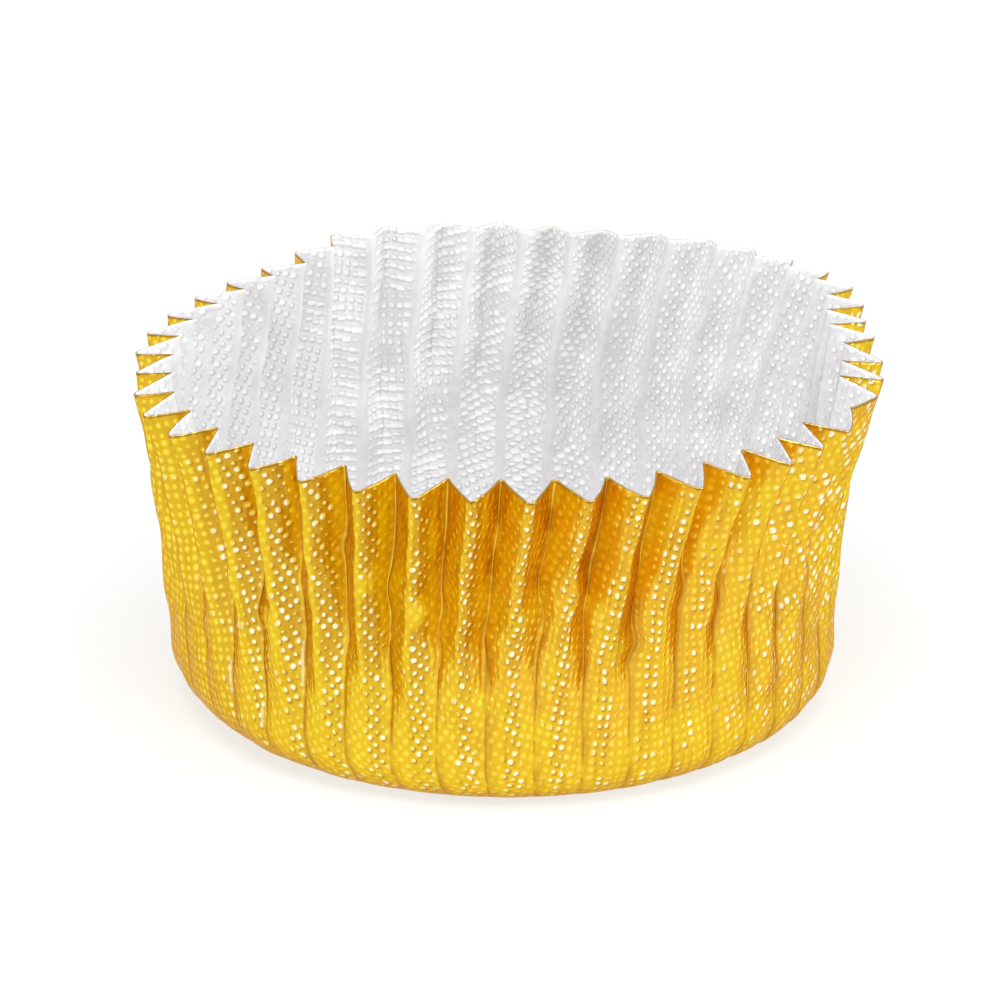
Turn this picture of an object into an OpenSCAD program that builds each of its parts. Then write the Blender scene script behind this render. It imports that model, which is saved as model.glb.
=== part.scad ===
/* [Cup] */
// Diameter of the flat base
base_d = 49; // [38:0.5:56]
// Radius of the rounded heel between the base and the wall
heel_r = 5.4; // [3:0.1:8]
// Diameter of the rim over the tips of the outward folds
rim_d = 67; // [60:0.5:80]
// Height of the tips of the outward folds
rim_h = 31.75; // [22:0.25:45]
// Share of the wall's flare that is kept for its upper part, 0 for a straight wall
wall_bow = 0.65; // [0:0.05:0.9]
// Thickness of the foil and paper sheet
sheet_t = 0.12; // [0.08:0.01:0.2]

/* [Pleats] */
// Number of pleats
pleats = 43; // [30:1:52]
// Width of the flat crest pressed along each fold
crest_w = 0.5; // [0.4:0.05:0.9]
// Share of the full fold depth that the gathered sheet takes up
crispness = 1; // [0.6:0.05:1]
// Height above the table at which the folds reach their full depth
soft_h = 15; // [4:0.5:20]
// Azimuth of the first outward fold, from the front round towards the left
first_az = -1; // [-4:0.5:4]
// Share of their depth that the pleats have lost where they have been pressed flatter
eased_by = 0.45; // [0:0.05:0.6]
// Azimuth of the middle of those pleats
eased_az = 220; // [0:5:360]
// Half the width of that stretch, in degrees round the rim
eased_half = 40; // [20:1:60]

/* [Pleat spacing] */
// Shift along the rim, in degrees, where the pleats crowd to one side
crowd = 4.5; // [0:0.5:6]
// Azimuth at which that shift changes from backward to forward
crowd_az = 75; // [0:5:360]
// Shift along the rim, in degrees, where the pleats crowd to two opposite sides
pinch = 2.7; // [0:0.1:4]
// Azimuth at which that shift changes from backward to forward
pinch_az = -5; // [-90:5:90]
// Azimuths of the two pleats that have been pulled open
opened_az = [272, 297]; // [0:1:360]
// How far each of them is pulled open, in degrees along the rim
opened_by = [3.6, 6.8]; // [0:0.1:9]
// How far round the rim an opened pleat pushes its neighbours, in degrees
opened_reach = 80; // [40:5:120]
// How quickly those shifts fade down the wall, 1 for evenly
shift_fade = 1.5; // [1:0.1:3]

/* [Rim out of round] */
// How far the rim leans to one side
lean = 1.4; // [0:0.1:2]
// Azimuth towards which the rim leans
lean_az = -42; // [-180:1:180]
// How far the rim is drawn into an oval
oval = 0.7; // [0:0.1:2]
// Azimuth of the oval's long axis
oval_az = 53; // [0:1:180]
// How far the rim is drawn into three lobes
lobes = 1.1; // [0:0.1:2]
// Azimuth of the first lobe
lobes_az = 73; // [0:1:120]
// Azimuths of the hand-made dents and bulges in the rim
dent_az = [195, 153, 240, 84]; // [0:1:360]
// How far each of them stands out, or in if below zero
dent_out = [-2.6, 1.9, 2.2, -0.85]; // [-3:0.05:3]
// Half the width of each of them, in degrees round the rim
dent_half = [30, 18, 20, 18]; // [10:1:45]
// How quickly the rim's shape fades down the wall, 1 for evenly
shape_fade = 2.8; // [1:0.1:4]

/* [Hidden] */

foil_gold = [0.93, 0.72, 0.10];

// Rings of points up the heel and up the wall, and points round one pleat
heel_steps = 5;
wall_steps = 8;
corners = 4;

base_r = base_d / 2;
columns = pleats * corners;

// The envelope of the outward folds: heel arc, then a wall that flares more and more
heel_sweep = 90 - atan2((1 - wall_bow) * (rim_d / 2 - base_r - heel_r), rim_h - heel_r);
heel_end_r = base_r + heel_r * sin(heel_sweep);
heel_end_z = heel_r * (1 - cos(heel_sweep));
flare_r = rim_d / 2 - heel_end_r;
flare_z = rim_h - heel_end_z;

function arc_length(r, angle) = r * angle * PI / 180;

// A ring is its radius, its height, the sheet's slope there and its distance from the base's edge
function heel_ring(sweep) = [
    base_r + heel_r * sin(sweep),
    heel_r * (1 - cos(sweep)),
    sweep,
    arc_length(heel_r, sweep)
];
function wall_ring(t) = [
    heel_end_r + flare_r * (t + wall_bow * (t * t - t)),
    heel_end_z + flare_z * t,
    atan2(flare_z, flare_r * (1 + wall_bow * (2 * t - 1))),
    arc_length(heel_r, heel_sweep) + t * norm([flare_r, flare_z])
];
rings = concat(
    [for (k = [0 : heel_steps - 1]) heel_ring(heel_sweep * k / heel_steps)],
    [for (k = [0 : wall_steps]) wall_ring(k / wall_steps)]
);

// Where the folds lie round the rim, and how far up the wall that has faded
function off_from(az, centre) = (az - centre + 540) % 360 - 180;
function push_aside(az, centre, opening) = let (d = off_from(az, centre))
    opening / 2 * sign(d) * max(0, 1 - abs(d) / opened_reach);
function rim_shift(az) = crowd * sin(az - crowd_az) + pinch * sin(2 * (az - pinch_az))
    + push_aside(az, opened_az[0], opened_by[0]) + push_aside(az, opened_az[1], opened_by[1]);
function faded(ring, power) = pow(ring[1] / rim_h, power);
function fold_az(ring, i) = let (even_az = first_az + 360 * i / pleats)
    even_az + rim_shift(even_az) * faded(ring, shift_fade);

// How far the envelope stands out of round at the rim
function near(az, centre, half) = let (d = min(1, abs(off_from(az, centre)) / half)) (1 + cos(180 * d)) / 2;
function dent(az, i) = dent_out[i] * near(az, dent_az[i], dent_half[i]);
function out_of_round(az) = lean * cos(az - lean_az) + oval * cos(2 * (az - oval_az))
    + lobes * cos(3 * (az - lobes_az)) + dent(az, 0) + dent(az, 1) + dent(az, 2) + dent(az, 3);
function envelope_r(ring, az) = ring[0] + out_of_round(az) * faded(ring, shape_fade);

// The blank is a flat disc, so a panel between two folds keeps the width that it had there
function panel_w(ring) = PI * (base_r + ring[3]) / pleats - crest_w;
function panel_run(pitch, r) = arc_length(r, pitch / 2) - crest_w;
function rise(panel, run) = sqrt(max(0, panel * panel - run * run));
function fold_depth(ring, az, next_az, r) = let (
    pitch = next_az - az,
    on_envelope = rise(panel_w(ring), panel_run(pitch, r)),
    at_mid_depth = rise(panel_w(ring), panel_run(pitch, r - on_envelope / 2)),
    pressed = min(1, ring[1] / soft_h),
    kept = 1 - eased_by * near((az + next_az) / 2, eased_az, eased_half)
) crispness * kept * at_mid_depth * pressed * pressed * (3 - 2 * pressed);

// A point lies at an azimuth and at a depth inward, square to the envelope
function on_sheet(ring, az, across, depth) = let (
    r = envelope_r(ring, az),
    turned = az + across / arc_length(r, 1),
    out = r - depth * sin(ring[2])
) [-out * sin(turned), -out * cos(turned), ring[1] + depth * cos(ring[2])];

// One pleat on one skin, inset by 0 outside and by the sheet inside, with mitred crests
function pleat(ring, i, inset) = let (
    az = [for (k = [-1 : 1]) fold_az(ring, i + k)],
    r = envelope_r(ring, az[1]),
    depth_before = fold_depth(ring, az[0], az[1], r),
    depth_after = fold_depth(ring, az[1], az[2], r),
    mitre_before = inset * mitre(depth_before, panel_run(az[1] - az[0], r - depth_before / 2)),
    mitre_after = inset * mitre(depth_after, panel_run(az[2] - az[1], r - depth_after / 2)),
    valley_az = (az[1] + az[2]) / 2
) [
    on_sheet(ring, az[1], mitre_before - crest_w / 2, inset),
    on_sheet(ring, az[1], crest_w / 2 - mitre_after, inset),
    on_sheet(ring, valley_az, -crest_w / 2 - mitre_after, depth_after + inset),
    on_sheet(ring, valley_az, crest_w / 2 + mitre_after, depth_after + inset)
];
function mitre(depth, run) = tan(atan2(depth, run) / 2);

function skin(inset) = [
    for (ring = rings) for (i = [0 : pleats - 1]) each pleat(ring, i, inset)
];

// Faces: two skins, the strip between them round the rim, and the base seen from both sides
function at(row, column) = row * columns + column % columns;
function skin_faces(first) = [
    for (row = [0 : len(rings) - 2]) for (c = [0 : columns - 1]) each [
        [first + at(row, c), first + at(row, c + 1), first + at(row + 1, c + 1)],
        [first + at(row, c), first + at(row + 1, c + 1), first + at(row + 1, c)]
    ]
];
function flipped(faces) = [for (f = faces) [f[2], f[1], f[0]]];
function rim_faces(outside, inside) = [
    for (c = [0 : columns - 1]) each [
        [outside + at(0, c), outside + at(0, c + 1), inside + at(0, c + 1)],
        [outside + at(0, c), inside + at(0, c + 1), inside + at(0, c)]
    ]
];
function disc_faces(first, centre) = [
    for (c = [0 : columns - 1]) [centre, first + at(0, c), first + at(0, c + 1)]
];

module liner() {
    inner = len(rings) * columns;
    centres = 2 * inner;
    top_row = (len(rings) - 1) * columns;
    color(foil_gold)
        polyhedron(
            points = concat(skin(0), skin(sheet_t), [[0, 0, 0], [0, 0, sheet_t]]),
            faces = concat(
                skin_faces(0),
                flipped(skin_faces(inner)),
                rim_faces(top_row, inner + top_row),
                flipped(disc_faces(0, centres)),
                disc_faces(inner, centres + 1)
            ),
            convexity = 12
        );
}

liner();
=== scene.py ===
"""A pleated foil cupcake liner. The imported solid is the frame, and the sheet takes its place."""

import math
from types import SimpleNamespace

import bpy
import numpy as np
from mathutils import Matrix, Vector


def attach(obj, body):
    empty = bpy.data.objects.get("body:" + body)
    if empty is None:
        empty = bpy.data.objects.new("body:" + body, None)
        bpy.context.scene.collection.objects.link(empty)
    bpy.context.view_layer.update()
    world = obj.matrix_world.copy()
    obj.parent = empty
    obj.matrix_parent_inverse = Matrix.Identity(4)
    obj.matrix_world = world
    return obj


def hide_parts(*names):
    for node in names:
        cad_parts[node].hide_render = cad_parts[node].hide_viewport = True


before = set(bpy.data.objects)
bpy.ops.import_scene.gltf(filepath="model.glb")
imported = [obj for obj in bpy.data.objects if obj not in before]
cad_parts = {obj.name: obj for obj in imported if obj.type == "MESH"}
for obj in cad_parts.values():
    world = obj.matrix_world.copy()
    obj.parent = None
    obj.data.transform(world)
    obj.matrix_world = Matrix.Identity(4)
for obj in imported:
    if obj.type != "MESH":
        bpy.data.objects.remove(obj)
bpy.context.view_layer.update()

# The cup, in metres, with the solid's own driving sizes
BASE_R = 0.0245
HEEL_R = 0.0054
RIM_R = 0.0335
RIM_H = 0.03175
WALL_BOW = 0.65
SHEET_T = 0.00012

# What follows from them: the heel's arc, the wall's flare, their lengths, and the blank's radius
HEEL_SWEEP = math.pi / 2 - math.atan2((1 - WALL_BOW) * (RIM_R - BASE_R - HEEL_R), RIM_H - HEEL_R)
HEEL_END_R = BASE_R + HEEL_R * math.sin(HEEL_SWEEP)
HEEL_END_Z = HEEL_R * (1 - math.cos(HEEL_SWEEP))
HEEL_LEN = HEEL_R * HEEL_SWEEP
FLARE_R = RIM_R - HEEL_END_R
FLARE_Z = RIM_H - HEEL_END_Z
WALL_LEN = math.hypot(FLARE_R, FLARE_Z)
BLANK_R = BASE_R + HEEL_LEN + WALL_LEN

# Pleats and where they lie round the rim, in degrees from the front round towards the left
PLEATS = 43
CREST_W = 0.0005
INNER_CREST_W = 0.00020
FIRST_AZ = -1
CROWD, CROWD_AZ = 4.5, 75
PINCH, PINCH_AZ = 2.7, -5
OPENED = [(272, 3.6), (297, 6.8)]
OPENED_REACH = 80
SHIFT_FADE = 1.5
EASED_BY, EASED_AZ, EASED_HALF = 0.45, 220, 40

# Height at which the folds are full, how it varies, and where it is greater: azimuth, share more
# and half width
SOFT_H = 0.021
UNEVEN = 0.12
SOFTER = [(90, 0.6, 60), (298, 0.5, 60)]

# The rim out of round: cosines as turns, size and azimuth of the peak, then dents as azimuth, push
# and half width
LOBES = [(1, 0.0014, -42), (2, 0.0007, 53), (3, 0.0011, 73)]
DENTS = [(195, -0.0026, 30), (153, 0.0019, 18), (240, 0.0022, 20), (84, -0.00085, 18)]
SHAPE_FADE = 2.8

# How far the wall sways to the right at each height
SWAY_Z = [0, 0.001, 0.004, 0.012, 0.018, 0.024, 0.028]
SWAY_X = [0.00042, 0.00036, 0, -0.00022, -0.00035, -0.00022, 0]

# Rings of points over the base, heel and wall, and points across half a pleat in shares of it
BASE_RINGS = 8
HEEL_RINGS = 12
WALL_RINGS = 74
ACROSS = [0, 0.1, 0.22, 0.5, 0.82, 0.955]

# Steps in a fold's rounded profile, columns that even out a normal, and guards against 0 / 0
PROFILE_STEPS = 200
NORMAL_REACH = 3
TINY_STEP, TINY_LENGTH = 1e-9, 1e-12

# Kinks of handling: how many in each fold, where up the sheet, how long, and how far they notch
# and turn it
SEED = 11
KINKS = 4
KINK_SLANT, KINK_SPREAD = 0.0195, 0.0045
KINK_LENGTH, KINK_STRETCH = 0.0014, (0.7, 1.5)
KINK_TURNS = (-1.6, 1.6)
OUTWARD_NOTCH, OUTWARD_TURN = 0.00020, 0.00014
INWARD_NOTCH, INWARD_TURN = 0.00035, 0.00024

# A groove along each inward fold: depth, width of its steep side and of its easy side, and the
# height at which it is full
CREASE = 0.00015
CREASE_W, CREASE_FLANK = 0.0004, 0.0016
CREASE_FULL_H = 0.0014

# Crumpling of the whole wall: height, number and lengths of its waves, and how it sets in
CRUMPLE = 0.00007
CRUMPLE_WAVES = 40
WAVE_LENGTHS, USUAL_WAVE = (0.003, 0.009), 0.006
CRUMPLE_START, CRUMPLE_RISE = -0.001, 0.004

# Pins embossed in the flat blank: pitch, azimuth of the rows, height, and how far each strays by
# itself, in shares of the pitch, and with its neighbours
PIN_PITCH = 0.00088
PIN_ROW_AZ = 66
PIN_DEPTH = 0.00004
PIN_SPREAD = 0.10
PIN_DRIFT, DRIFT_SIZE = 0.0003, 0.005

# Fine streaks along the folds: width in radians of the blank, and length
STREAK_TURN, STREAK_LENGTH = 0.016, 0.008

# Pale rubs low on the left and a small crossed one above them: azimuth, distance from the blank's
# centre, and half sizes
SCUFFS = [
    (61, BASE_R + 0.0100, 0.00030, 0.0018),
    (54, BASE_R + 0.0112, 0.00030, 0.0022),
    (46, BASE_R + 0.0088, 0.00024, 0.0012),
    (37, BASE_R + 0.0150, 0.00020, 0.0030),
    (49.3, BASE_R + 0.0172, 0.00024, 0.0010),
    (49.3, BASE_R + 0.0172, 0.00100, 0.00020),
]
SCUFF_SHARE = 0.65

# Strips of painted glints on the pins beside the outward folds: middle and half width at the front,
# and what the turn to the left adds to them
STRIP_MIDDLE, STRIP_TURN = 0.0003, 0.0024
STRIP_WIDTH, STRIP_WIDER = 0.0009, 0.0004
STRIP_SOFTNESS = 0.0003

# Stretches of the wall, for facing(): azimuth of the middle, and how many degrees from it a mark
# is still full and then gone
DOTTED_LEFT = (95, 30, 55)
GLITTERING_RIGHT = (-80, 20, 45)
HOLLOW_SHADE_FRONT = (0, 45, 90)
WARM_SHADE_STRETCH = (-32, 22, 52)
STRIP_STRETCH = (12, 34, 56)
GROUND_SHADE_STRETCH = (38, 20, 45)
SHADED_LIP_STRETCH = (0, 80, 110)
DRAWN_OUT_STRETCH = (166, 16, 34)
PAINTED_LIGHT_STRETCH = (130, 30, 80)

# Sizes of the soft patches that break up each side
FOIL_PATCHES = {"broad": 0.008, "medium": 0.0045, "small": 0.002, "fine": 0.0007}
PAPER_PATCHES = {"broad": 0.009, "medium": 0.006, "fine": 0.0008}

# From here to the colours, each tuple is for Nodes.between(): where a mark starts and where it is
# full, and then its strength at the one and at the other, unless that is 0 and 1.

# Marks round a pin, by the distance from its middle in shares of the pitch. Domes are relief;
# gaps and shades are painted shade, tops and glints painted highlights
FOIL_DOME = (0.42, 0.0)
FOIL_GAP_SHADE = (0.30, 0.56)
FOIL_TOP_HIGHLIGHT = (0.36, 0.14)
FOIL_GLINT = (0.32, 0.16)
FOIL_SHADE = (0.42, 0.26)
FOIL_SHADE_OFF = 0.14
LINING_DOME = (0.48, 0.0)
LINING_TOP = (0.35, 0.18)
LINING_SHADE = (0.46, 0.28)
LINING_SHADE_OFF = 0.12

# Marks by the distance from a fold; the hollow, edge, line, band and lining line are painted shade
PINS_BY_FOLD = (0.0001, 0.0005, 0.1, 1.0)
HOLLOW = (0.0019, 0.0008)
HOLLOW_WANDER = 0.0007
EDGE_OF_FOLD = (0.00026, 0.00010)
LINE_ON_FOLD = (0.00020, 0.00006, 0.0, 0.75)
BAND_BY_FOLD = (0.0011, 0.0002, 0.0, 0.5)
LINING_PINS_BY_FOLD = (0.0003, 0.0008)
LINING_LINE = (0.00022, 0.00008)

# Marks by the distance from the blank's centre
NO_FOLDS_ON_BASE = (BASE_R + 0.002, BASE_R - 0.001, 0.0, 0.005)
HIGH = (BASE_R + 0.011, BASE_R + 0.020)
WARM_HEIGHT = (BASE_R + 0.004, BASE_R + 0.012, 0.0, 0.7)
STRIP_HEIGHT = (BASE_R + 0.002, BASE_R + 0.012, 0.45, 0.85)
CREASED_HEIGHT = (BASE_R + 0.010, BASE_R + 0.022, 0.3, 0.6)
BROWN_RIM = (BLANK_R - 0.00035, BLANK_R - 0.00012, 0.0, 0.8)
CUT_EDGE = (BLANK_R - 0.00006, BLANK_R - 0.00002)

# Marks by a patch of noise or by the streaks
PRESSED_PATCHES = (0.32, 0.46, 0.6, 1.0)
WRINKLES, WRINKLE_SHARE = (0.25, 0.75), 0.6
STREAK_RELIEF = (0.3, 0.7, 0.0, 0.7)
STREAK_SHADE = (0.46, 0.34, 0.0, 0.28)
MOTTLE_MEDIUM, MOTTLE_FINE = (0.35, 0.65), (0.3, 0.7)
WARM_PATCHES = (0.34, 0.54)
STRIP_PATCHES = (0.26, 0.38)
SCATTER_PATCHES = (0.42, 0.58, 0.1, 0.65)
SCUFF_PATCHES = (0.35, 0.55)
CREASED_PATCHES = (0.42, 0.58)
LINE_PATCHES = (0.42, 0.58, 0.35, 1.0)
BAND_PATCHES = (0.30, 0.60, 0.2, 1.0)
DRAWN_OUT_PATCHES = (0.3, 0.55)
FIBRES = (0.35, 0.65)
PAINTED_LIGHT_PATCHES = (0.35, 0.6, 0.0, 0.45)
LINING_LINE_PATCHES = (0.35, 0.65)
LINING_STRIP_PATCHES = (0.35, 0.65, 0.0, 0.35)
LINING_LUCK_PATCHES = (0.35, 0.65, 0.0, 0.9)

# Strengths that depend on another mark or on a pin's own number
PIN_TIGHTNESS = (0.0, 1.0, 1.65, 0.9)
HOLLOW_BY_MOTTLE = (0.0, 1.0, 0.52, 0.22)
GAP_SHADE_ON_LEFT = (0.0, 1.0, 0.28, 0.48)
LUCK_ON_LEFT = (0.0, 1.0, 1.0, 0.3)
GROUND_SHADE_BY_STRETCH = (0.0, 1.0, 0.40, 0.70)
LOW_GROUND_SHADE = 0.25
SHADE_BY_LUCK = (0.60, 1.20, 0.0, 0.65)
TOP_HIGHLIGHT_BY_MARK = (0.0, 1.0, 0.80, 0.92)
GLINT_ON_RIGHT = (0.0, 1.0, 1.0, 0.8)
GLINT_UNEVEN = 0.5
GLINT_BY_LUCK = (0.85, 1.20)
LINING_SQUEEZE = (0.0, 1.0, 0.95, 0.38)
OFF_LINING_PINS = (1.0, 0.0)
LINING_SHADE_BY_LUCK = (0.1, 0.9, 0.3, 0.62)
LINING_TOP_BY_LUCK = (0.1, 0.7, 0.6, 1.0)

# Colours, linear
GOLD = (0.92, 0.70, 0.017, 1)
GOLD_DEEP = (0.90, 0.63, 0.019, 1)
# Painted shade: orange of light bounced between the folds, in the hollows and in warm patches
GOLD_HOLLOW_SHADE = (0.95, 0.66, 0.09, 1)
GOLD_WARM_SHADE = (0.93, 0.52, 0.03, 1)
# Painted shade: brown between and round the pins, along the streaks and by the inward folds
GOLD_PAINTED_SHADE = (0.56, 0.26, 0.014, 1)
# Painted highlight: pale tops of the pins
GOLD_PIN_HIGHLIGHT = (0.98, 0.76, 0.090, 1)
# Painted highlight: near-white glints on the pins
GOLD_PAINTED_GLINT = (1.0, 0.97, 0.70, 1)
GOLD_SCUFF = (0.93, 0.84, 0.58, 1)
GOLD_SHADE = (0.42, 0.19, 0.012, 1)
# Painted shadow beside the inward folds, and the brown near the cut edge
GOLD_SHADOW_AND_RIM_BROWN = (0.25, 0.11, 0.006, 1)
GOLD_EDGE = (0.80, 0.50, 0.15, 1)
# Painted shade on the cut edge, on its front half
CUT_EDGE_SHADE = (0.50, 0.33, 0.10, 1)
PAPER = (0.790, 0.782, 0.785, 1)
PAPER_DEEP = (0.725, 0.715, 0.722, 1)
# Painted shade along the lining's folds
PAPER_FOLD_SHADE = (0.64, 0.63, 0.64, 1)
PAPER_SHADE = (0.54, 0.53, 0.54, 1)
# Painted highlight: white pin tops, and white patches of painted light
PAPER_HIGHLIGHT = (0.98, 0.98, 0.98, 1)
WHITE = (1, 1, 1, 1)
FLOOR_PALE = (0.9, 0.9, 0.9, 1)

# Gloss
FOIL_GLOSS = {
    "Metallic": 1.0,
    "Roughness": 0.30,
    "Specular Tint": GOLD_EDGE,
    "Coat Weight": 0.25,
    "Coat Roughness": 0.20,
}
PAPER_GLOSS = {"Roughness": 0.35}

# Camera, from the photo: how far off, how high, how wide a view at the cup, and where it looks
CAMERA_DISTANCE = 1.8
CAMERA_ELEVATION = 23.5
FRAME_WIDTH = 0.09009
AIM = (-0.00026, 0, 0.01785)
SENSOR_WIDTH = 36
CLIP_START, CLIP_END = 0.1, 10

# Studio: the floor, the light that the surroundings give and how white they look, and the lamps as
# name, place, side and watts
FLOOR_HALF = 2.0
FLOOR_WHITE = 0.7
FLOOR_DROP = 0.00003
WORLD_LIGHT, WORLD_SEEN = 0.62, 1.0
LAMPS = [
    ("key", (1.3, -0.6, 0.5), 0.60, 9),
    ("fill", (-1.2, -0.8, 0.6), 0.60, 4),
    ("top", (0.0, -0.7, 1.4), 0.80, 16),
]
LAMP_AIM = (0, 0, 0.015)


def envelope(slant):
    """Radius, height and slope of the outward folds, so far up the sheet from the base's edge."""
    sweep = np.clip(slant / HEEL_R, 0, HEEL_SWEEP)
    t = np.clip((slant - HEEL_LEN) / WALL_LEN, 0, None)
    wall = slant > HEEL_LEN
    wall_r = HEEL_END_R + FLARE_R * (t + WALL_BOW * (t * t - t))
    r = np.where(wall, wall_r, BASE_R + HEEL_R * np.sin(sweep)) + np.minimum(slant, 0)
    z = np.where(wall, HEEL_END_Z + FLARE_Z * t, HEEL_R * (1 - np.cos(sweep)))
    slope = np.where(wall, np.arctan2(FLARE_Z, FLARE_R * (1 + WALL_BOW * (2 * t - 1))), sweep)
    return r, z, slope


def off_from(az, centre):
    """Degrees from the centre round to this azimuth, from -180 to 180."""
    return (az - centre + 540) % 360 - 180


def rim_shift(az):
    """How far a fold at this azimuth has moved along the rim, in degrees."""
    shift = CROWD * np.sin(np.radians(az - CROWD_AZ))
    shift = shift + PINCH * np.sin(np.radians(2 * (az - PINCH_AZ)))
    for centre, opening in OPENED:
        d = off_from(az, centre)
        shift = shift + opening / 2 * np.sign(d) * np.clip(1 - np.abs(d) / OPENED_REACH, 0, None)
    return shift


def near(az, centre, half):
    """1 at the centre, falling to 0 so many degrees to either side."""
    d = np.minimum(np.abs(off_from(az, centre)) / half, 1)
    return (1 + np.cos(np.pi * d)) / 2


def out_of_round(az):
    """How far the rim stands out of round at this azimuth."""
    push = sum(size * np.cos(np.radians(turns * (az - peak))) for turns, size, peak in LOBES)
    return push + sum(out * near(az, centre, half) for centre, out, half in DENTS)


def smooth(x):
    """0 below 0, 1 above 1, and an even rise between them."""
    x = np.clip(x, 0, 1)
    return x * x * (3 - 2 * x)


def fold_depth(slant, pitch, r, z, soft_h):
    """Depth of a pleat: a panel keeps its width in the flat blank, and the pitch sets its run."""
    panel = np.pi * (BASE_R + slant) / PLEATS - CREST_W
    half = np.radians(pitch / 2)

    def rise(at_r):
        return np.sqrt(np.clip(panel**2 - (half * at_r - CREST_W) ** 2, 0, None))

    return rise(r - rise(r) / 2) * smooth(z / soft_h)


def kinks(rng, slant, notch_size, turn_size):
    """How far handling has notched each fold and turned it sideways, at each ring."""
    notch, turn = 0, 0
    for _ in range(KINKS):
        centre = rng.normal(KINK_SLANT, KINK_SPREAD, PLEATS)
        x = (slant - centre) / (KINK_LENGTH * rng.uniform(*KINK_STRETCH, PLEATS))
        notch = notch + notch_size * rng.uniform(0, 1, PLEATS) ** 2 * np.exp(-x * x)
        turn = turn + turn_size * rng.uniform(*KINK_TURNS, PLEATS) * np.exp(-x * x)
    return notch, turn * smooth(slant / SOFT_H)


def crease(slant, z):
    """A groove that keeps inward folds visible down to the heel: its steep and its easy side."""
    radius = (BASE_R + np.maximum(slant, 0))[..., None]
    from_fold = (1 - np.array(ACROSS + [1])) * np.pi * radius / PLEATS
    deep = CREASE * smooth(z / CREASE_FULL_H)[..., None]
    return [deep * np.clip(1 - from_fold / width, 0, 1) for width in (CREASE_W, CREASE_FLANK)]


def half_pleats(slant, run, depth):
    """Shares of the run and of the depth at the points of ACROSS, with both folds rounded."""
    q = (np.arange(PROFILE_STEPS) + 0.5) / PROFILE_STEPS
    width = np.pi * (BASE_R + np.maximum(slant, 0)) / PLEATS
    crest = (CREST_W / 2 / width)[..., None]
    inner_crest = (INNER_CREST_W / 2 / width)[..., None]
    tilt = np.arctan2(depth, run)[..., None]
    tilt = tilt * smooth(q / crest - 0.5) * smooth((1 - q) / inner_crest - 0.5)
    picks = [round(q * PROFILE_STEPS) for q in ACROSS + [1]]

    def shares(steps):
        reached = np.cumsum(steps, axis=-1)
        reached = np.concatenate([np.zeros_like(reached[..., :1]), reached], axis=-1)[..., picks]
        return reached / reached[..., -1:]

    return shares(np.cos(tilt)), shares(np.sin(tilt) + TINY_STEP)


def crumple(points, rng):
    """A gentle random relief: a sum of waves in random directions."""
    relief = np.zeros(points.shape[:-1])
    for _ in range(CRUMPLE_WAVES):
        direction = rng.normal(size=3)
        direction /= np.linalg.norm(direction)
        length = rng.uniform(*WAVE_LENGTHS)
        phase = points @ direction * 2 * np.pi / length + rng.uniform(0, 2 * np.pi)
        relief += length / USUAL_WAVE * np.sin(phase)
    return relief / math.sqrt(CRUMPLE_WAVES / 2)


def grid_normals(points):
    """Outward normals of a grid whose columns close on themselves."""
    up = np.gradient(points, axis=0)
    round_rim = np.roll(points, -NORMAL_REACH, axis=1) - np.roll(points, NORMAL_REACH, axis=1)
    normals = np.cross(up, round_rim)
    return normals / (np.linalg.norm(normals, axis=-1, keepdims=True) + TINY_LENGTH)


def ring_slants():
    """How far up the sheet from the base's edge each ring of points lies."""
    base = -BASE_R * (1 - np.arange(1, BASE_RINGS) / BASE_RINGS)
    heel = HEEL_LEN * np.arange(HEEL_RINGS) / HEEL_RINGS
    wall = HEEL_LEN + WALL_LEN * np.arange(WALL_RINGS + 1) / WALL_RINGS
    return np.concatenate([base, heel, wall])[:, None]


def next_fold(az):
    """Azimuth of each fold's next neighbour round the cup."""
    following = np.roll(az, -1, axis=1)
    following[:, -1] += 360
    return following


def part_way(start, end, shares):
    """Values at these shares of the way from each start to its end."""
    return start[..., None] + (end - start)[..., None] * shares


def pleated_rings(rng, slant, r, z, share):
    """Azimuth of every column at each ring, and how far inside the envelope the folds put it."""
    even = FIRST_AZ + 360 * np.arange(PLEATS) / PLEATS
    notch, turn = kinks(rng, slant, OUTWARD_NOTCH, OUTWARD_TURN)
    inner_notch, inner_turn = kinks(rng, slant, INWARD_NOTCH, INWARD_TURN)
    ridge = even + rim_shift(even) * (z / RIM_H) ** SHIFT_FADE
    pitch = next_fold(ridge) - ridge
    middle = (ridge + next_fold(ridge)) / 2

    softer = sum(more * near(even, centre, half) for centre, more, half in SOFTER)
    soft_h = SOFT_H * (1 + UNEVEN * rng.normal(0, 1, PLEATS) + softer)
    depth = fold_depth(slant, pitch, r + out_of_round(ridge) * share, z, soft_h)
    depth = depth * (1 - EASED_BY * near(middle, EASED_AZ, EASED_HALF))
    depth = depth - np.minimum(inner_notch, depth / 2)
    run = np.radians(pitch / 2) * r
    along, inward = half_pleats(np.broadcast_to(slant, run.shape), run, depth)

    # From each outward fold in to the inward one, and from that out to the next outward fold
    valley = middle + np.degrees(inner_turn / r)
    ridge = ridge + np.degrees(turn / r)
    steep, easy = crease(slant, z)
    az = np.concatenate([
        part_way(ridge, valley, along[..., :-1]),
        part_way(valley, next_fold(ridge), 1 - along[..., :0:-1]),
    ], axis=-1)
    inset = np.concatenate([
        part_way(notch, depth, inward[..., :-1]) + steep[..., :-1],
        part_way(np.roll(notch, -1, axis=1), depth, inward[..., :0:-1]) + easy[..., :0:-1],
    ], axis=-1)
    return az.reshape(len(slant), -1), inset.reshape(len(slant), -1)


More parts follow.
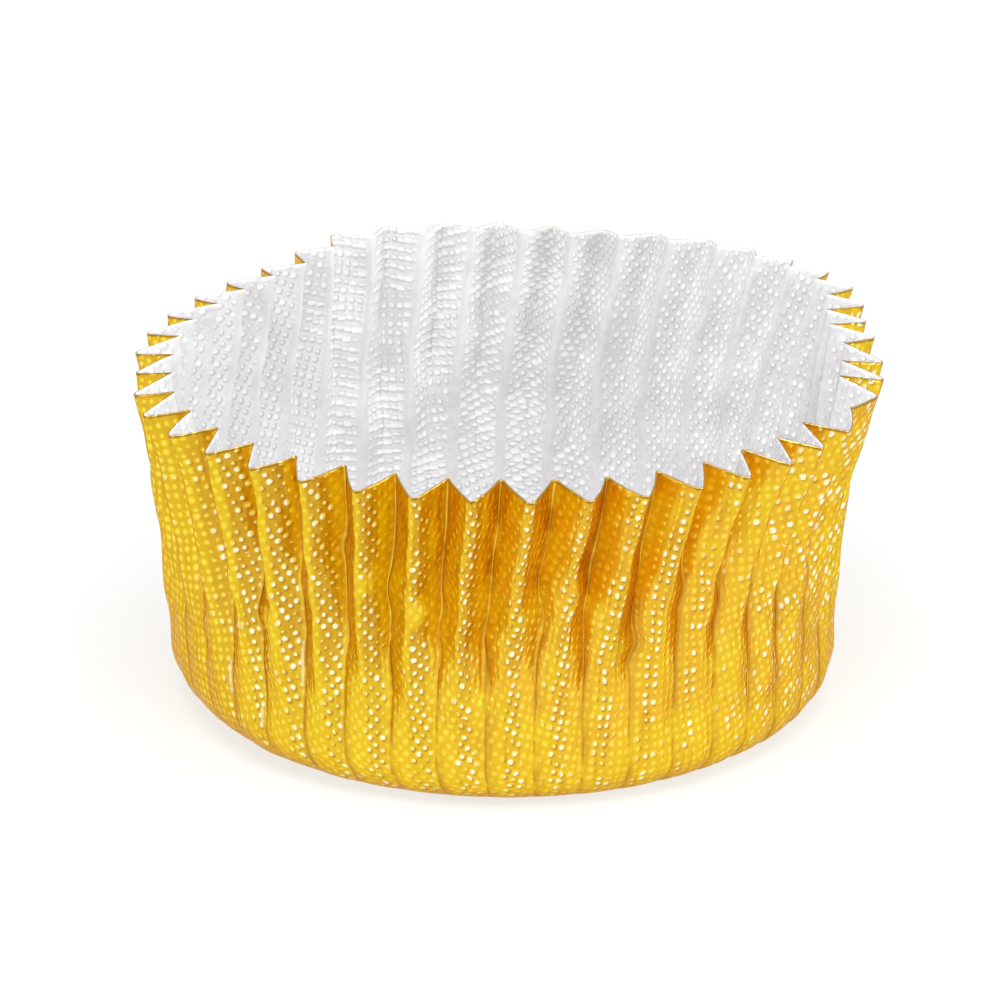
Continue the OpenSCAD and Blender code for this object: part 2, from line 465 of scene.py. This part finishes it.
def handled(points, z, rng):
    """The points after handling: crumpled, swayed to one side and standing on the table."""
    relief = crumple(points, rng) * CRUMPLE * smooth((z - CRUMPLE_START) / CRUMPLE_RISE)
    points = points + grid_normals(points) * relief[..., None]
    points[..., 0] += np.interp(points[..., 2], SWAY_Z, SWAY_X)
    points[..., 2] = np.maximum(points[..., 2], 0)
    return points


def blank_places(slant):
    """Where each point lies in the flat blank, in metres, with the rows of pins along the axes."""
    places = np.array(ACROSS + [2 - q for q in (ACROSS + [1])[:0:-1]]) / 2
    pleat = (np.arange(PLEATS)[:, None] + places).ravel()
    turn = np.radians(pleat * 360 / PLEATS + FIRST_AZ - PIN_ROW_AZ)
    radius = BASE_R + slant
    return np.stack([radius * np.cos(turn), radius * np.sin(turn)], axis=-1)


def sheet_grid():
    """Points of the outer face, rings up and columns round, and where each lies in the blank."""
    rng = np.random.default_rng(SEED)
    slant = ring_slants()
    r, z, slope = envelope(slant)
    share = (z / RIM_H) ** SHAPE_FADE
    az, inset = pleated_rings(rng, slant, r, z, share)
    out = r + out_of_round(az) * share - inset * np.sin(slope)
    height = z + inset * np.cos(slope)
    turned = np.radians(az)
    points = np.stack([-out * np.sin(turned), -out * np.cos(turned), height], axis=-1)
    return handled(points, z, rng), blank_places(slant)


def sheet_mesh():
    """The sheet as one mesh, closed at the base's centre, with the place in the blank as UV map."""
    points, blank = sheet_grid()
    rings, columns = points.shape[:2]
    vertices = np.concatenate([points.reshape(-1, 3), [[0, 0, 0]]])
    places = np.concatenate([blank.reshape(-1, 2), [[0, 0]]])
    index = np.arange(rings * columns).reshape(rings, columns)
    beside = np.roll(index, -1, axis=1)
    quads = np.stack([index[:-1], index[1:], beside[1:], beside[:-1]], axis=-1).reshape(-1, 4)
    centre = np.full(columns, rings * columns)
    fan = np.stack([centre, index[0], beside[0]], axis=-1)
    mesh = bpy.data.meshes.new("liner_sheet")
    mesh.from_pydata(vertices.tolist(), [], fan.tolist() + quads.tolist())
    uv = mesh.uv_layers.new(name="blank")
    corners = np.zeros(len(mesh.loops), dtype=np.int32)
    mesh.loops.foreach_get("vertex_index", corners)
    uv.data.foreach_set("uv", places[corners].astype(np.float32).ravel())
    mesh.shade_smooth()
    mesh.update()
    return mesh


class Nodes:
    """A few lines for building the nodes of a material or world."""

    def __init__(self, owner):
        owner.use_nodes = True
        self.tree = owner.node_tree
        self.tree.nodes.clear()

    def feed(self, socket, value):
        """Links another node's socket to this one, or gives this one a value."""
        if isinstance(value, bpy.types.NodeSocket):
            self.tree.links.new(value, socket)
        else:
            socket.default_value = value

    def add(self, kind, inputs=None, **settings):
        node = self.tree.nodes.new(kind)
        for key, value in settings.items():
            setattr(node, key, value)
        for key, value in (inputs or {}).items():
            self.feed(node.inputs[key], value)
        return node

    def math(self, operation, a, b=0.0):
        return self.add("ShaderNodeMath", {0: a, 1: b}, operation=operation).outputs[0]

    def chain(self, operation, first, rest):
        """The operation on the first value and the next, then on that and the next, and so on."""
        for value in rest:
            first = self.math(operation, first, value)
        return first

    def times(self, first, *rest):
        return self.chain("MULTIPLY", first, rest)

    def plus(self, first, *rest):
        return self.chain("ADD", first, rest)

    def most(self, first, *rest):
        return self.chain("MAXIMUM", first, rest)

    def minus(self, a, b):
        return self.math("SUBTRACT", a, b)

    def absolute(self, a):
        return self.math("ABSOLUTE", a)

    def length(self, a, b):
        return self.math("SQRT", self.plus(self.times(a, a), self.times(b, b)))

    def vector(self, operation, a, b=(0, 0, 0), output="Vector"):
        return self.add("ShaderNodeVectorMath", {0: a, 1: b}, operation=operation).outputs[output]

    def number(self, operation, a, b=(0, 0, 0)):
        return self.vector(operation, a, b, "Value")

    def scaled(self, vector, factor):
        inputs = {0: vector, "Scale": factor}
        return self.add("ShaderNodeVectorMath", inputs, operation="SCALE").outputs[0]

    def noise(self, place, size, detail):
        grain = {"Vector": place, "Scale": 1 / size, "Detail": detail}
        return self.add("ShaderNodeTexNoise", grain).outputs

    def between(self, value, low, high, to_low=0.0, to_high=1.0):
        """From to_low to to_high, in an even rise while the value goes from low to high."""
        span = {"From Min": low, "From Max": high, "To Min": to_low, "To Max": to_high}
        return self.add(
            "ShaderNodeMapRange", {"Value": value, **span}, interpolation_type="SMOOTHSTEP"
        ).outputs[0]

    def mix(self, share, a, b):
        node = self.add("ShaderNodeMix", data_type="RGBA")
        for socket, value in ((0, share), (6, a), (7, b)):
            self.feed(node.inputs[socket], value)
        return node.outputs[2]

    def bump(self, height, distance, **settings):
        relief = {"Height": height, "Strength": 1.0, "Distance": distance}
        return self.add("ShaderNodeBump", relief, **settings).outputs[0]

    def surface(self, inputs):
        """A principled surface as the material's output."""
        shader = self.add("ShaderNodeBsdfPrincipled", inputs).outputs[0]
        self.add("ShaderNodeOutputMaterial", {"Surface": shader})

    def seen(self):
        """1 for a ray from the camera or a reflection, and 0 for light that falls on the cup."""
        path = self.add("ShaderNodeLightPath").outputs
        return self.most(path["Is Camera Ray"], path["Is Glossy Ray"])


def pins(nodes, blank, squeeze=1.0):
    """Embossed pins on the blank's square grid: distance from the pin, place to its right and above
    it, in shares of the pitch, and a number of the pin's own. A squeeze below 1 draws the pins out
    round the cup."""
    drift = nodes.noise(blank, DRIFT_SIZE, 0.0)["Color"]
    drift = nodes.scaled(nodes.vector("SUBTRACT", drift, (0.5, 0.5, 0.5)), 2 * PIN_DRIFT)
    cells = nodes.scaled(nodes.vector("ADD", blank, drift), 1 / PIN_PITCH)
    cells = nodes.vector("MULTIPLY", cells, (1, 1, 0))
    cell = nodes.vector("FLOOR", cells)
    own = nodes.add("ShaderNodeTexWhiteNoise", {"Vector": cell}, noise_dimensions="3D").outputs
    moved = nodes.scaled(nodes.vector("SUBTRACT", own["Color"], (0.5, 0.5, 0.5)), 2 * PIN_SPREAD)
    centre = nodes.vector("ADD", nodes.vector("ADD", cell, (0.5, 0.5, 0)), moved)
    offset = nodes.vector("MULTIPLY", nodes.vector("SUBTRACT", cells, centre), (1, 1, 0))
    up = nodes.vector("NORMALIZE", blank)
    right = nodes.vector("CROSS_PRODUCT", up, (0, 0, 1))
    above = nodes.number("DOT_PRODUCT", offset, up)
    beside = nodes.times(nodes.number("DOT_PRODUCT", offset, right), squeeze)
    away = nodes.times(nodes.length(beside, above), nodes.between(own["Value"], *PIN_TIGHTNESS))
    return SimpleNamespace(away=away, beside=beside, above=above, own=own["Value"])


def folds(nodes, blank):
    """Distances from the nearest outward and inward fold in metres, the side of the fold, the
    distance from the blank's centre, fine streaks along the folds, and the azimuth. On the base,
    no fold is near."""
    parts = nodes.add("ShaderNodeSeparateXYZ", {0: blank}).outputs
    turn = nodes.math("ARCTAN2", parts[1], parts[0])
    turn = nodes.plus(turn, math.radians(PIN_ROW_AZ - FIRST_AZ + 360))
    place = nodes.math("FRACT", nodes.times(turn, PLEATS / (2 * math.pi)))
    radius = nodes.number("LENGTH", blank)
    pitch = nodes.times(radius, 2 * math.pi / PLEATS)
    from_middle = nodes.absolute(nodes.minus(place, 0.5))
    unfolded = nodes.between(radius, *NO_FOLDS_ON_BASE)
    along = nodes.add("ShaderNodeCombineXYZ", {
        0: nodes.times(turn, 1 / STREAK_TURN),
        1: nodes.times(radius, 1 / STREAK_LENGTH),
    }).outputs[0]
    return SimpleNamespace(
        outward=nodes.plus(nodes.times(nodes.minus(0.5, from_middle), pitch), unfolded),
        inward=nodes.plus(nodes.times(from_middle, pitch), unfolded),
        side=nodes.math("GREATER_THAN", place, 0.5),
        radius=radius,
        streaks=nodes.noise(along, 1.0, 1.0)[0],
        azimuth=nodes.plus(turn, math.radians(FIRST_AZ)),
    )


def side_of_sheet(nodes, patches):
    """What a side's look depends on: its folds, and soft patches of each size, about 0.3 to 0.7."""
    blank = nodes.add("ShaderNodeUVMap", uv_map="blank").outputs[0]
    side = folds(nodes, blank)
    side.blank = blank
    for name, size in patches.items():
        setattr(side, name, nodes.noise(blank, size, 1.0)[0])
    return side


def facing(nodes, azimuth, centre, full, none):
    """1 within so many degrees of the centre's azimuth, falling to 0 further round."""
    cosine = nodes.math("COSINE", nodes.minus(azimuth, math.radians(centre)))
    return nodes.between(cosine, math.cos(math.radians(none)), math.cos(math.radians(full)))


def scuffs(nodes, azimuth, radius):
    """Short pale rubs along the wall."""
    rubbed = 0.0
    for at_az, at_radius, width, length in SCUFFS:
        aside = nodes.absolute(nodes.minus(azimuth, math.radians(at_az + 360)))
        along = nodes.absolute(nodes.minus(radius, at_radius))
        narrow = nodes.between(aside, width / at_radius, width / at_radius / 3)
        rubbed = nodes.most(rubbed, nodes.times(narrow, nodes.between(along, length, length / 2)))
    return rubbed


def strip_of_glints(nodes, foil):
    """Each outward fold's column of painted glints, off the fold to the side that faces the front.
    """
    signed = nodes.times(foil.outward, nodes.minus(nodes.times(foil.side, 2.0), 1.0))
    sine = nodes.math("SINE", foil.azimuth)
    middle = nodes.plus(nodes.times(sine, STRIP_TURN), STRIP_MIDDLE)
    width = nodes.plus(nodes.times(sine, STRIP_WIDER), STRIP_WIDTH)
    beyond = nodes.minus(nodes.absolute(nodes.minus(signed, middle)), width)
    return nodes.times(
        nodes.between(beyond, STRIP_SOFTNESS, -STRIP_SOFTNESS),
        nodes.between(foil.broad, *STRIP_PATCHES),
        facing(nodes, foil.azimuth, *STRIP_STRETCH),
        nodes.between(foil.radius, *STRIP_HEIGHT),
    )


def foil_bump(nodes, foil, pin):
    """Relief of the foil: domed pins, wrinkles and streaks along the folds."""
    dome = nodes.times(nodes.between(pin.away, *FOIL_DOME), foil.pressed)
    wrinkles = nodes.times(nodes.between(foil.small, *WRINKLES), WRINKLE_SHARE)
    streaks = nodes.between(foil.streaks, *STREAK_RELIEF)
    return nodes.bump(nodes.plus(dome, wrinkles, streaks), PIN_DEPTH)


def lacquer_and_painted_shade(nodes, foil, pin):
    """Gold, deeper in places, with painted shade: orange in the hollows and in warm patches,
    brown along the streaks and between the pins.
    """
    mottled = nodes.between(foil.medium, *MOTTLE_MEDIUM)
    mottled = nodes.times(nodes.plus(mottled, nodes.between(foil.fine, *MOTTLE_FINE)), 0.5)
    colour = nodes.mix(mottled, GOLD_DEEP, GOLD)
    # Painted shade: orange in the hollows high on the front, for light bounced between the folds
    hollow = nodes.times(
        nodes.between(nodes.plus(foil.inward, nodes.times(mottled, HOLLOW_WANDER)), *HOLLOW),
        foil.high,
        facing(nodes, foil.azimuth, *HOLLOW_SHADE_FRONT),
    )
    hollow = nodes.times(hollow, nodes.between(mottled, *HOLLOW_BY_MOTTLE))
    colour = nodes.mix(hollow, colour, GOLD_HOLLOW_SHADE)
    # Painted shade: warm orange patches on the right front
    warm = nodes.times(
        facing(nodes, foil.azimuth, *WARM_SHADE_STRETCH),
        nodes.between(foil.medium, *WARM_PATCHES),
        nodes.between(foil.radius, *WARM_HEIGHT),
    )
    colour = nodes.mix(warm, colour, GOLD_WARM_SHADE)
    # Painted shade along the fine streaks, whose relief is in the bump
    colour = nodes.mix(nodes.between(foil.streaks, *STREAK_SHADE), colour, GOLD_PAINTED_SHADE)
    # Painted shade in the gaps between the pins, stronger on the left
    gap_shade = nodes.times(nodes.between(pin.away, *FOIL_GAP_SHADE), nodes.between(foil.on_left, *GAP_SHADE_ON_LEFT))
    return nodes.mix(gap_shade, colour, GOLD_PAINTED_SHADE)


def painted_pin_light_and_shade(nodes, foil, pin, colour):
    """Painted highlights on the pins, brightest in strips and on the right; painted shade below
    them.
    """
    scattered = nodes.times(foil.on_right, nodes.between(foil.small, *SCATTER_PATCHES))
    chance = nodes.most(foil.strip, scattered)
    lucky = nodes.plus(pin.own, nodes.times(chance, nodes.between(foil.on_left, *LUCK_ON_LEFT)))
    # Painted shade: a darker surround for the glints in the strips, most high on the wall
    ground_shade = nodes.times(foil.strip, nodes.most(nodes.times(foil.high, foil.side), LOW_GROUND_SHADE))
    dark = nodes.between(facing(nodes, foil.azimuth, *GROUND_SHADE_STRETCH), *GROUND_SHADE_BY_STRETCH)
    colour = nodes.mix(nodes.times(ground_shade, dark), colour, GOLD_PAINTED_SHADE)

    # Painted shade at the lower right of the brighter pins
    from_shade = nodes.length(
        nodes.minus(pin.beside, FOIL_SHADE_OFF), nodes.plus(pin.above, FOIL_SHADE_OFF)
    )
    shade = nodes.between(from_shade, *FOIL_SHADE)
    shade = nodes.times(shade, nodes.between(lucky, *SHADE_BY_LUCK))
    colour = nodes.mix(nodes.times(shade, foil.off_fold), colour, GOLD_SHADE)
    # Painted highlight: paler pin tops, more on the left, the right and in the strips
    marked = nodes.most(foil.on_left, foil.on_right, foil.strip)
    top = nodes.times(nodes.between(pin.away, *FOIL_TOP_HIGHLIGHT), nodes.between(marked, *TOP_HIGHLIGHT_BY_MARK))
    colour = nodes.mix(nodes.times(top, foil.pressed), colour, GOLD_PIN_HIGHLIGHT)

    # Painted highlights: near-white glints, most in the strips and on the right
    from_core = nodes.plus(pin.away, nodes.times(nodes.minus(foil.fine, 0.5), GLINT_UNEVEN))
    from_core = nodes.times(from_core, nodes.between(foil.on_right, *GLINT_ON_RIGHT))
    glint = nodes.times(nodes.between(from_core, *FOIL_GLINT), nodes.between(lucky, *GLINT_BY_LUCK))
    return nodes.mix(nodes.times(glint, foil.off_fold), colour, GOLD_PAINTED_GLINT)


def rubs_and_painted_fold_shade(nodes, foil, colour):
    """Pale rubs, painted shade on and beside the inward folds, brown near the rim, and the cut
    edge.
    """
    rubbed = scuffs(nodes, foil.azimuth, foil.radius)
    rubbed = nodes.times(rubbed, nodes.between(foil.fine, *SCUFF_PATCHES), SCUFF_SHARE)
    colour = nodes.mix(rubbed, colour, GOLD_SCUFF)
    one_side = nodes.minus(1.0, foil.side)
    # Painted shade: a ragged line on each inward fold and a soft band on one side of it
    line = nodes.between(foil.inward, *LINE_ON_FOLD)
    line = nodes.times(line, nodes.between(foil.small, *LINE_PATCHES))
    band = nodes.times(nodes.between(foil.inward, *BAND_BY_FOLD), one_side)
    band = nodes.times(band, nodes.between(foil.medium, *BAND_PATCHES))
    colour = nodes.mix(nodes.most(line, band), colour, GOLD_PAINTED_SHADE)
    # Painted shadow along one side of each inward fold, high on the wall
    painted_crease_shadow = nodes.times(
        nodes.between(foil.inward, *EDGE_OF_FOLD),
        one_side,
        nodes.between(foil.medium, *CREASED_PATCHES),
        nodes.between(foil.radius, *CREASED_HEIGHT),
    )
    browned = nodes.most(painted_crease_shadow, nodes.between(foil.radius, *BROWN_RIM))
    colour = nodes.mix(browned, colour, GOLD_SHADOW_AND_RIM_BROWN)
    # Painted shade: the cut edge darker on the front half, white paper behind
    shaded_lip = nodes.mix(facing(nodes, foil.azimuth, *SHADED_LIP_STRETCH), PAPER, CUT_EDGE_SHADE)
    return nodes.mix(nodes.between(foil.radius, *CUT_EDGE), colour, shaded_lip)


def gold_foil():
    """Gold-lacquered embossed foil, with painted glints on its pins and painted shade in its
    creases.
    """
    material = bpy.data.materials.new("gold_foil")
    nodes = Nodes(material)
    foil = side_of_sheet(nodes, FOIL_PATCHES)
    foil.on_left = facing(nodes, foil.azimuth, *DOTTED_LEFT)
    foil.on_right = facing(nodes, foil.azimuth, *GLITTERING_RIGHT)
    foil.off_fold = nodes.between(foil.inward, *PINS_BY_FOLD)
    foil.pressed = nodes.times(foil.off_fold, nodes.between(foil.broad, *PRESSED_PATCHES))
    foil.high = nodes.between(foil.radius, *HIGH)
    foil.strip = strip_of_glints(nodes, foil)
    pin = pins(nodes, foil.blank)
    bump = foil_bump(nodes, foil, pin)
    colour = rubs_and_painted_fold_shade(nodes, foil, painted_pin_light_and_shade(nodes, foil, pin, lacquer_and_painted_shade(nodes, foil, pin)))
    nodes.surface({"Base Color": colour, "Normal": bump, "Coat Normal": bump, **FOIL_GLOSS})
    return material


def white_lining():
    """White paper with the foil's pins pressed through it, smooth along the inward folds, with
    painted highlights and painted shade.
    """
    material = bpy.data.materials.new("white_lining")
    nodes = Nodes(material)
    paper = side_of_sheet(nodes, PAPER_PATCHES)
    drawn_out = facing(nodes, paper.azimuth, *DRAWN_OUT_STRETCH)
    drawn_out = nodes.times(drawn_out, nodes.between(paper.medium, *DRAWN_OUT_PATCHES))
    pin = pins(nodes, paper.blank, nodes.between(drawn_out, *LINING_SQUEEZE))
    pressed = nodes.between(paper.inward, *LINING_PINS_BY_FOLD)
    dome = nodes.times(nodes.between(pin.away, *LINING_DOME), pressed)
    bump = nodes.bump(dome, PIN_DEPTH / 2, invert=True)

    # Paper: painted light in patches, painted grey shade along the inward folds, and a painted
    # shade line on the outward ones
    colour = nodes.mix(nodes.between(paper.fine, *FIBRES), PAPER_DEEP, PAPER)
    # Painted light: white patches on the inside wall at the back left
    bright = facing(nodes, paper.azimuth, *PAINTED_LIGHT_STRETCH)
    bright = nodes.times(bright, nodes.between(paper.broad, *PAINTED_LIGHT_PATCHES))
    colour = nodes.mix(bright, colour, PAPER_HIGHLIGHT)
    # Painted shade: grey strips by the inward folds, where the pins are flat
    strip = nodes.between(pressed, *OFF_LINING_PINS)
    strip = nodes.times(strip, nodes.between(paper.broad, *LINING_STRIP_PATCHES))
    colour = nodes.mix(strip, colour, PAPER_FOLD_SHADE)
    # Painted shade: a grey line on each outward fold
    line = nodes.between(paper.outward, *LINING_LINE)
    line = nodes.times(line, nodes.between(paper.medium, *LINING_LINE_PATCHES))
    colour = nodes.mix(line, colour, PAPER_FOLD_SHADE)

    # Pins: a painted highlight on top and a painted grey shade to one side below it
    lucky = nodes.plus(pin.own, nodes.between(paper.broad, *LINING_LUCK_PATCHES))
    from_shade = nodes.length(
        nodes.plus(pin.beside, LINING_SHADE_OFF), nodes.plus(pin.above, LINING_SHADE_OFF)
    )
    shade = nodes.between(from_shade, *LINING_SHADE)
    shade = nodes.times(shade, nodes.between(lucky, *LINING_SHADE_BY_LUCK), pressed)
    colour = nodes.mix(shade, colour, PAPER_SHADE)
    top = nodes.between(pin.away, *LINING_TOP)
    top = nodes.times(top, nodes.between(lucky, *LINING_TOP_BY_LUCK), pressed)
    colour = nodes.mix(top, colour, PAPER_HIGHLIGHT)
    nodes.surface({"Base Color": colour, "Normal": bump, **PAPER_GLOSS})
    return material


def add_object(name, data):
    """A new object with this data, in the scene."""
    thing = bpy.data.objects.new(name, data)
    bpy.context.scene.collection.objects.link(thing)
    return thing


def turn_to(thing, aim):
    """Turns a camera or lamp, which looks along its own -Z, to a place."""
    thing.rotation_euler = (Vector(aim) - thing.location).to_track_quat("-Z", "Y").to_euler()


def make_liner():
    """The liner's sheet: gold outside, white inside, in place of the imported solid."""
    liner = add_object("liner_sheet", sheet_mesh())
    liner.data.materials.append(gold_foil())
    liner.data.materials.append(white_lining())
    skin = liner.modifiers.new("thickness", "SOLIDIFY")
    skin.thickness = SHEET_T
    skin.offset = -1
    skin.material_offset = 1
    skin.material_offset_rim = 0
    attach(liner, "root")
    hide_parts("liner")


def make_camera():
    """The photo's view of the cup."""
    data = bpy.data.cameras.new("camera")
    camera = add_object("camera", data)
    elevation = math.radians(CAMERA_ELEVATION)
    camera.location.y = -CAMERA_DISTANCE * math.cos(elevation)
    camera.location.z = CAMERA_DISTANCE * math.sin(elevation)
    turn_to(camera, AIM)
    data.sensor_width = SENSOR_WIDTH
    data.lens = SENSOR_WIDTH * CAMERA_DISTANCE / FRAME_WIDTH
    data.clip_start = CLIP_START
    data.clip_end = CLIP_END
    bpy.context.scene.camera = camera


def make_floor():
    """A pale floor that looks white and keeps the cup's shadow, a hair below the base."""
    mesh = bpy.data.meshes.new("floor")
    corners = [(x * FLOOR_HALF, y * FLOOR_HALF, 0) for x, y in ((-1, -1), (1, -1), (1, 1), (-1, 1))]
    mesh.from_pydata(corners, [], [(0, 1, 2, 3)])
    floor = add_object("floor", mesh)
    floor.location.z = -FLOOR_DROP
    material = bpy.data.materials.new("floor")
    nodes = Nodes(material)
    lit = nodes.add("ShaderNodeBsdfDiffuse", {"Color": FLOOR_PALE}).outputs[0]
    white = nodes.add("ShaderNodeEmission", {"Color": WHITE, "Strength": 1.0}).outputs[0]
    share = nodes.times(nodes.seen(), FLOOR_WHITE)
    look = nodes.add("ShaderNodeMixShader", {0: share, 1: lit, 2: white}).outputs[0]
    nodes.add("ShaderNodeOutputMaterial", {"Surface": look})
    mesh.materials.append(material)


def make_world():
    """Even white surroundings: white to the camera and in reflections, and softer as light."""
    world = bpy.data.worlds.new("studio")
    bpy.context.scene.world = world
    nodes = Nodes(world)
    levels = {"Value": nodes.seen(), "To Min": WORLD_LIGHT, "To Max": WORLD_SEEN}
    strength = nodes.add("ShaderNodeMapRange", levels).outputs[0]
    light = nodes.add("ShaderNodeBackground", {"Color": WHITE, "Strength": strength}).outputs[0]
    nodes.add("ShaderNodeOutputWorld", {"Surface": light})


def softbox(name, place, side, watts):
    """A square lamp that faces the cup."""
    data = bpy.data.lights.new(name, "AREA")
    data.shape = "SQUARE"
    data.size = side
    data.energy = watts
    lamp = add_object(name, data)
    lamp.location = place
    turn_to(lamp, LAMP_AIM)


bpy.context.scene.view_settings.view_transform = "Standard"
make_camera()
make_world()
make_floor()
for lamp in LAMPS:
    softbox(*lamp)
make_liner()
